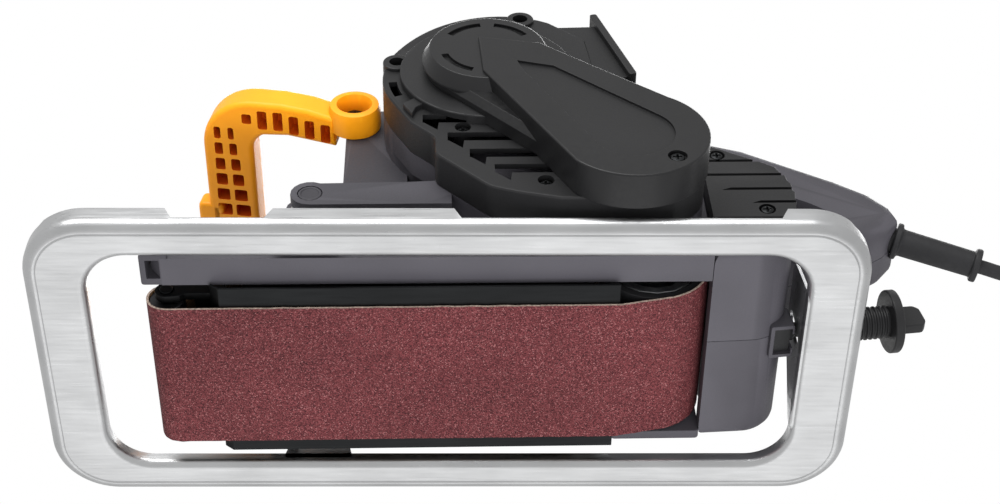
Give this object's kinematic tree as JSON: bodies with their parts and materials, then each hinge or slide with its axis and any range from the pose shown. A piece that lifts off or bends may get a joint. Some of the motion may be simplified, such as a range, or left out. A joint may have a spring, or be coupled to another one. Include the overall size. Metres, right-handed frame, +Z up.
{
  "type": "handheld belt sander",
  "caption": "Handheld belt sander: tensioned abrasive belt over a drum and roller, transverse motor with belt drive, bow front handle, closed rear handle and tilting sanding frame.",
  "frame": {"origin": "middle of the flat sanding face of the belt, on the work plane, halfway across the belt's width", "axes": "+Z up away from the work, +X to the rear handle and cord, -Y toward the drive belt cover"},
  "size_m": [0.4701, 0.19, 0.1682],
  "materials": {
    "grey_nylon": "satin dark slate grey glass-filled nylon with a fine moulded grain",
    "black_nylon": "satin black moulded nylon, slightly paler on worn edges",
    "orange_handle": "smooth satin yellow-orange moulded plastic",
    "bare_steel": "pressed bare sheet steel, satin with fine rub marks, brighter on the bends",
    "dark_steel": "dark oiled steel",
    "abrasive": "maroon aluminium-oxide grit on brown cloth",
    "rubber": "matte black rubber",
    "cast_aluminium": "machined cast aluminium",
    "copper": "enamelled copper wire and copper bars",
    "cork": "ground cork cushion",
    "carbon": "pressed carbon"
  },
  "bodies": {
    "housing": {"main_body": "grey_nylon", "rear_housing_left": "grey_nylon", "rear_housing_right": "grey_nylon", "motor_end_cap": "black_nylon", "side_cover": "black_nylon", "belt_cover": "black_nylon", "rear_side_panel": "black_nylon", "switch_module": "black_nylon", "clamp_nut": "black_nylon", "front_handle": "orange_handle", "motor_bearing_left": "bare_steel", "motor_bearing_right": "bare_steel", "drum_bearing_outer": "bare_steel", "drum_bearing_inner": "bare_steel", "tension_spring": "bare_steel", "platen_sheet": "dark_steel", "belt_frame": "dark_steel", "stator_core": "dark_steel", "frame_pivot_screw_left": "dark_steel", "frame_pivot_screw_right": "dark_steel", "side_cover_screw_1": "dark_steel", "side_cover_screw_2": "dark_steel", "side_cover_tab_screw_1": "dark_steel", "side_cover_tab_screw_2": "dark_steel", "belt_cover_screw": "dark_steel", "rear_panel_screw_1": "dark_steel", "rear_panel_screw_2": "dark_steel", "handle_screw_left": "dark_steel", "handle_screw_right": "dark_steel", "sanding_belt": "abrasive", "drive_belt": "rubber", "grip_strip": "rubber", "cord_boot": "rubber", "power_cord": "rubber", "field_coil_upper": "copper", "field_coil_lower": "copper", "platen_cushion": "cork", "carbon_brush_front": "carbon", "carbon_brush_rear": "carbon"},
    "rotor": {"motor_shaft": "bare_steel", "armature": "copper", "commutator": "copper", "cooling_fan": "black_nylon", "motor_pulley": "bare_steel"},
    "drum": {"drum_rubber_lagging": "rubber", "drum_hub": "cast_aluminium", "drum_shaft": "bare_steel", "drum_pulley": "dark_steel"},
    "tension_carriage": {"tension_rod": "bare_steel"},
    "roller_carrier": {"roller_yoke": "dark_steel", "front_roller_axle": "bare_steel"},
    "front_roller": {"front_roller": "bare_steel"},
    "tension_lever": {"belt_tension_lever": "black_nylon"},
    "tracking_knob": {"tracking_knob": "black_nylon"},
    "trigger": {"trigger": "black_nylon"},
    "lock_button": {"lock_button": "black_nylon"},
    "speed_dial": {"speed_dial": "black_nylon"},
    "sanding_frame": {"sanding_frame": "bare_steel"},
    "clamp_washer": {"clamp_washer": "bare_steel"},
    "clamp_screw": {"clamp_screw": "black_nylon"}
  },
  "joints": [
    {"name": "motor_spin", "type": "hinge", "parent": "housing", "child": "rotor", "pos_m": [0.029, 0, 0.107], "axis": [0, 1, 0], "continuous": true},
    {"name": "drum_spin", "type": "hinge", "parent": "housing", "child": "drum", "pos_m": [0.101, 0, 0.029], "axis": [0, 1, 0], "continuous": true},
    {"name": "tension_slide", "type": "slide", "parent": "housing", "child": "tension_carriage", "axis": [1, 0, 0], "range_m": [0, 0.007], "stiffness_N_per_m": 400, "deforming": ["tension_spring"]},
    {"name": "tracking_tilt", "type": "hinge", "parent": "tension_carriage", "child": "roller_carrier", "pos_m": [-0.086, 0, 0.014], "axis": [0, 0, 1], "range_deg": [-0.25, 0.25]},
    {"name": "front_roller_spin", "type": "hinge", "parent": "roller_carrier", "child": "front_roller", "pos_m": [-0.111, 0, 0.009], "axis": [0, 1, 0], "continuous": true},
    {"name": "tension_lever_turn", "type": "hinge", "parent": "housing", "child": "tension_lever", "pos_m": [0.04, 0, 0.02], "axis": [0, 1, 0], "range_deg": [0, 75]},
    {"name": "tracking_knob_turn", "type": "hinge", "parent": "housing", "child": "tracking_knob", "pos_m": [-0.066, 0, 0.014], "axis": [0, 1, 0], "range_deg": [-180, 180]},
    {"name": "trigger_pull", "type": "slide", "parent": "housing", "child": "trigger", "axis": [0.5358, 0, 0.8443], "range_m": [0, 0.005], "stiffness_N_per_m": 150},
    {"name": "lock_button_press", "type": "slide", "parent": "housing", "child": "lock_button", "axis": [0, 1, 0], "range_m": [0, 0.0025], "stiffness_N_per_m": 60},
    {"name": "speed_dial_turn", "type": "hinge", "parent": "housing", "child": "speed_dial", "pos_m": [0.112, -0.012, 0.14], "axis": [0, 1, 0], "range_deg": [0, 270]},
    {"name": "frame_tilt", "type": "hinge", "parent": "housing", "child": "sanding_frame", "pos_m": [-0.0495, 0, 0.038], "axis": [0, 1, 0], "range_deg": [-1, 2]},
    {"name": "clamp_advance", "type": "slide", "parent": "housing", "child": "clamp_washer", "axis": [0.9936, 0, 0.1132], "range_m": [-0.0075, 0]},
    {"name": "clamp_screw_turn", "type": "hinge", "parent": "clamp_washer", "child": "clamp_screw", "pos_m": [0.161, -0.01, 0.016], "axis": [0.9936, 0, 0.1132], "range_deg": [-1800, 0]}
  ],
  "couplings": [
    {"joint": "drum_spin", "follows": "motor_spin", "ratio": 0.42857},
    {"joint": "front_roller_spin", "follows": "motor_spin", "ratio": 1.2857},
    {"joint": "tension_lever_turn", "follows": "tension_slide", "rad_per_m": 186.99},
    {"joint": "tracking_knob_turn", "follows": "tracking_tilt", "ratio": 719.99},
    {"joint": "clamp_advance", "follows": "clamp_screw_turn", "m_per_rad": 0.00023873}
  ]
}
